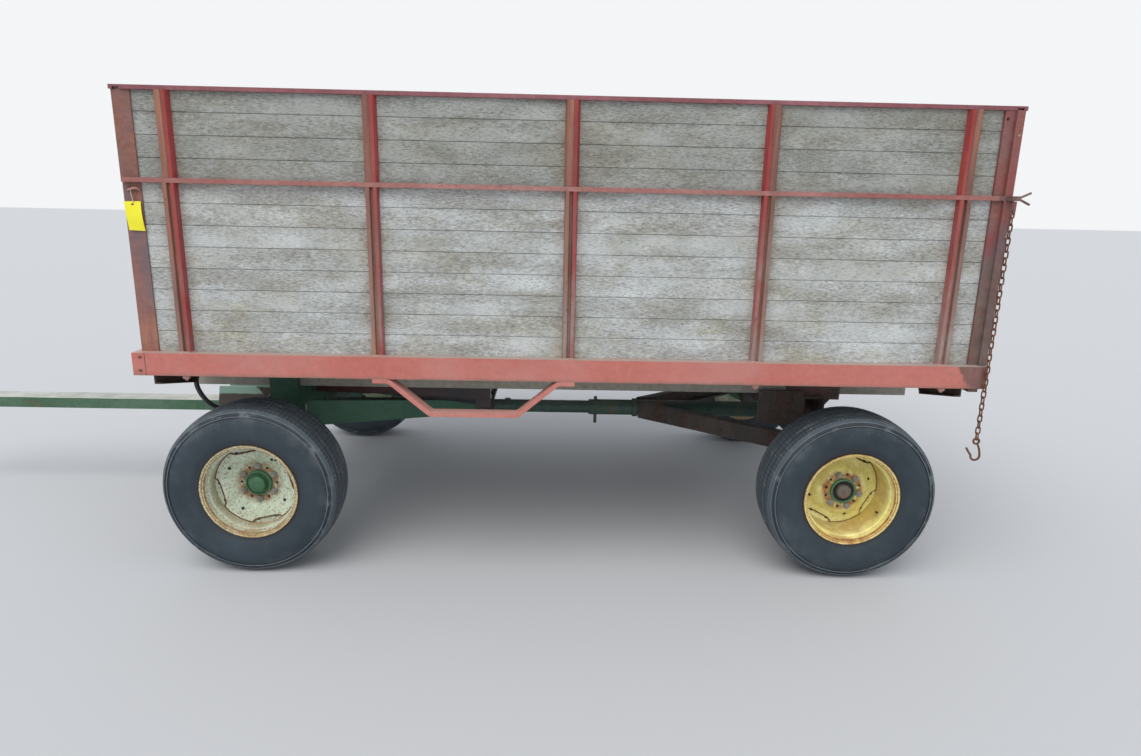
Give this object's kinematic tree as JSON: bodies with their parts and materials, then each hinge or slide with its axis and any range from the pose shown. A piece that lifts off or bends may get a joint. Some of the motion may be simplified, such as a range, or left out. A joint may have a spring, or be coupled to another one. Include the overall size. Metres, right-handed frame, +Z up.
{
  "type": "barge wagon",
  "caption": "Farm barge wagon: tilting wooden box with swinging rear gate on a steered four wheel running gear with a drawbar.",
  "frame": {"origin": "on the ground under the middle of the whole wagon, tongue included, in the wagon's centre plane", "axes": "+X to the rear of the wagon, the drawbar at -X; +Y to the side away from the step and chain; +Z up"},
  "size_m": [5.367, 2.225, 1.99],
  "materials": {
    "bed_grey_paint": "satin, weathered",
    "board_wood": "weathered",
    "chain_steel": "rusted",
    "gear_green_paint": "satin, worn",
    "gear_rusty_paint": "rusted",
    "gland_steel": "plated",
    "hoist_paint": "satin, worn",
    "hose_rubber": "satin",
    "hub_paint": "gloss, worn",
    "ram_steel": "polished",
    "red_paint": "faded, rusting",
    "rim_paint": "faded gloss with rust",
    "tyre_rubber": "matt, dusty"
  },
  "bodies": {
    "running_gear": {"front_axle": "gear_green_paint", "rear_axle": "gear_rusty_paint", "front_bolster": "gear_green_paint", "rear_bolster": "gear_rusty_paint", "reach_tube": "gear_green_paint", "reach_sleeve": "gear_green_paint", "front_hounds": "gear_green_paint", "rear_hounds": "gear_rusty_paint", "hoist_frame": "hoist_paint"},
    "left_knuckle": {"left_knuckle": "gear_green_paint"},
    "right_knuckle": {"right_knuckle": "gear_green_paint"},
    "left_tie_rod": {"left_tie_rod": "gear_green_paint"},
    "right_tie_rod": {"right_tie_rod": "gear_green_paint"},
    "steering_plate": {"steering_plate": "gear_green_paint"},
    "tongue": {"tongue": "gear_green_paint", "hitch_clevis": "gear_rusty_paint"},
    "hoist_barrels": {"hoist_barrels": "hoist_paint"},
    "hoist_stages": {"hoist_stages": "hoist_paint"},
    "hoist_rams": {"hoist_rams": "ram_steel"},
    "bed": {"main_sills": "bed_grey_paint", "cross_members": "bed_grey_paint", "lift_lugs": "bed_grey_paint", "floor": "board_wood", "side_sills": "red_paint", "end_sills": "red_paint", "side_boards": "board_wood", "front_boards": "board_wood", "rear_boards": "board_wood", "side_stakes": "red_paint", "end_stakes": "red_paint", "corner_posts": "red_paint", "tie_rail": "red_paint", "top_rail": "red_paint", "step": "red_paint", "gate_ears": "red_paint", "gate_chain": "chain_steel", "hose": "hose_rubber", "hose_glands": "gland_steel"},
    "gate": {"gate_boards": "board_wood", "gate_frame": "red_paint"},
    "front_left_wheel": {"front_left_tyre": "tyre_rubber", "front_left_rim": "rim_paint", "front_left_hub": "hub_paint"},
    "front_right_wheel": {"front_right_tyre": "tyre_rubber", "front_right_rim": "rim_paint", "front_right_hub": "hub_paint"},
    "rear_left_wheel": {"rear_left_tyre": "tyre_rubber", "rear_left_rim": "rim_paint", "rear_left_hub": "hub_paint"},
    "rear_right_wheel": {"rear_right_tyre": "tyre_rubber", "rear_right_rim": "rim_paint", "rear_right_hub": "hub_paint"}
  },
  "joints": [
    {"name": "steering", "type": "hinge", "parent": "running_gear", "child": "steering_plate", "pos_m": [-0.529, 0, 0.44], "axis": [0, 0, 1], "range_deg": [-28, 28]},
    {"name": "left_kingpin", "type": "hinge", "parent": "running_gear", "child": "left_knuckle", "pos_m": [-0.429, -0.7, 0.372], "axis": [0, 0, 1], "range_deg": [-28, 28]},
    {"name": "right_kingpin", "type": "hinge", "parent": "running_gear", "child": "right_knuckle", "pos_m": [-0.429, 0.7, 0.372], "axis": [0, 0, 1], "range_deg": [-28, 28]},
    {"name": "left_tie_pivot", "type": "hinge", "parent": "left_knuckle", "child": "left_tie_rod", "pos_m": [-0.579, -0.74, 0.398], "axis": [0, 0, 1], "range_deg": [-28, 28]},
    {"name": "right_tie_pivot", "type": "hinge", "parent": "right_knuckle", "child": "right_tie_rod", "pos_m": [-0.579, 0.74, 0.398], "axis": [0, 0, 1], "range_deg": [-28, 28]},
    {"name": "tongue_pitch", "type": "hinge", "parent": "steering_plate", "child": "tongue", "pos_m": [-0.934, 0, 0.468], "axis": [0, 1, 0], "range_deg": [-13, 30]},
    {"name": "bed_tilt", "type": "hinge", "parent": "running_gear", "child": "bed", "pos_m": [2.223, 0, 0.717], "axis": [0, 1, 0], "range_deg": [0, 40]},
    {"name": "barrel_pivot", "type": "hinge", "parent": "running_gear", "child": "hoist_barrels", "pos_m": [0.496, 0, 0.56], "axis": [0, 1, 0], "range_deg": [0, 75.31]},
    {"name": "stage_slide", "type": "slide", "parent": "hoist_barrels", "child": "hoist_stages", "axis": [-0.9937, 0, 0.1118], "range_m": [0, 0.4717]},
    {"name": "ram_slide", "type": "slide", "parent": "hoist_stages", "child": "hoist_rams", "axis": [-0.9937, 0, 0.1118], "range_m": [0, 0.4717]},
    {"name": "gate_swing", "type": "hinge", "parent": "bed", "child": "gate", "pos_m": [2.652, 0, 1.618], "axis": [0, -1, 0], "range_deg": [0, 75]},
    {"name": "front_left_spin", "type": "hinge", "parent": "left_knuckle", "child": "front_left_wheel", "pos_m": [-0.429, -0.945, 0.372], "axis": [0, 1, 0], "continuous": true},
    {"name": "front_right_spin", "type": "hinge", "parent": "right_knuckle", "child": "front_right_wheel", "pos_m": [-0.429, 0.945, 0.372], "axis": [0, 1, 0], "continuous": true},
    {"name": "rear_left_spin", "type": "hinge", "parent": "running_gear", "child": "rear_left_wheel", "pos_m": [2.156, -0.945, 0.372], "axis": [0, 1, 0], "continuous": true},
    {"name": "rear_right_spin", "type": "hinge", "parent": "running_gear", "child": "rear_right_wheel", "pos_m": [2.156, 0.945, 0.372], "axis": [0, 1, 0], "continuous": true}
  ],
  "couplings": [
    {"joint": "left_kingpin", "follows": "steering", "ratio": 1},
    {"joint": "right_kingpin", "follows": "steering", "ratio": 1},
    {"joint": "left_tie_pivot", "follows": "steering", "ratio": -1},
    {"joint": "right_tie_pivot", "follows": "steering", "ratio": -1},
    {"joint": "barrel_pivot", "follows": "bed_tilt", "ratio": 1.8825},
    {"joint": "stage_slide", "follows": "bed_tilt", "m_per_rad": 0.67551},
    {"joint": "ram_slide", "follows": "bed_tilt", "m_per_rad": 0.67551}
  ]
}
